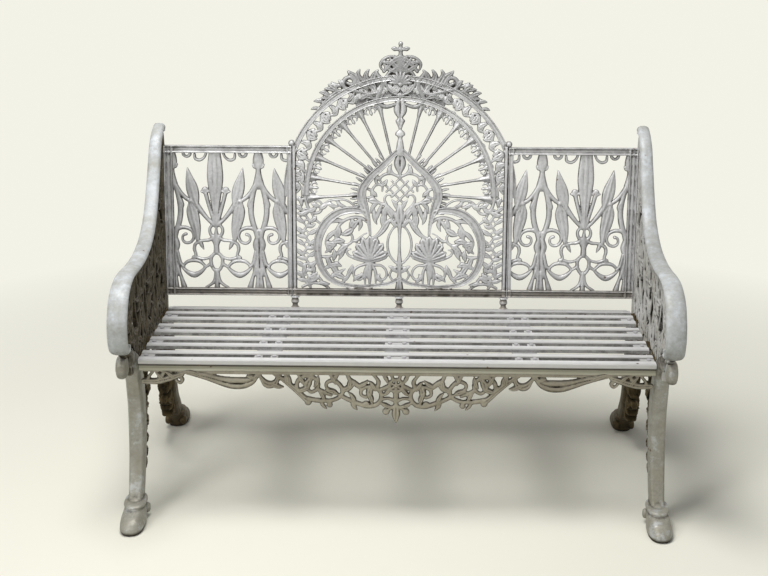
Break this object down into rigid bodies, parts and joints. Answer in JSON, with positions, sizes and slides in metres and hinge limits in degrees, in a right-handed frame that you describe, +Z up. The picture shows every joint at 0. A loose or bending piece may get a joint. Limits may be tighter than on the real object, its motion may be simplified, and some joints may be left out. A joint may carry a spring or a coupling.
{
  "type": "garden bench",
  "caption": "Cast iron garden settee with an arched, crested lacework back, slatted seat, openwork arms, pierced apron and hoofed cabriole legs.",
  "frame": {"origin": "on the floor, midway between the end frames and midway between the front and rear hoof and arm tips", "axes": "+X to the sitter's left as seen from the front (the picture's right), +Y towards the back, +Z up; real size in metres"},
  "size_m": [1.332, 0.7906, 1.0963],
  "materials": {
    "casting_paint": "weathered satin silver-grey paint over cast iron, with chips and grime in the recesses",
    "bar_paint": "duller silver-grey paint over iron bar, with brown grime underneath",
    "fastener_paint": "painted iron bolts and nuts with worn edges"
  },
  "bodies": {
    "root": {"end_frame_left": "casting_paint", "end_frame_right": "casting_paint", "back_panel_left": "casting_paint", "back_panel_centre": "casting_paint", "back_panel_right": "casting_paint", "seat_slats_front": "casting_paint", "seat_slats_second": "casting_paint", "seat_slats_third": "casting_paint", "seat_slats_fourth": "casting_paint", "seat_slat_rear": "casting_paint", "apron": "casting_paint", "back_feet": "casting_paint", "seat_bearer_left": "bar_paint", "seat_bearer_middle": "bar_paint", "seat_bearer_right": "bar_paint", "front_rail": "bar_paint", "rear_rail": "bar_paint", "seat_bolts": "fastener_paint", "seat_nuts": "fastener_paint", "rail_bolts": "fastener_paint", "panel_bolts": "fastener_paint", "stile_bolts": "fastener_paint", "foot_bolts": "fastener_paint", "apron_screws": "fastener_paint", "bearer_bolts": "fastener_paint", "bearer_nuts": "fastener_paint"}
  },
  "joints": []
}
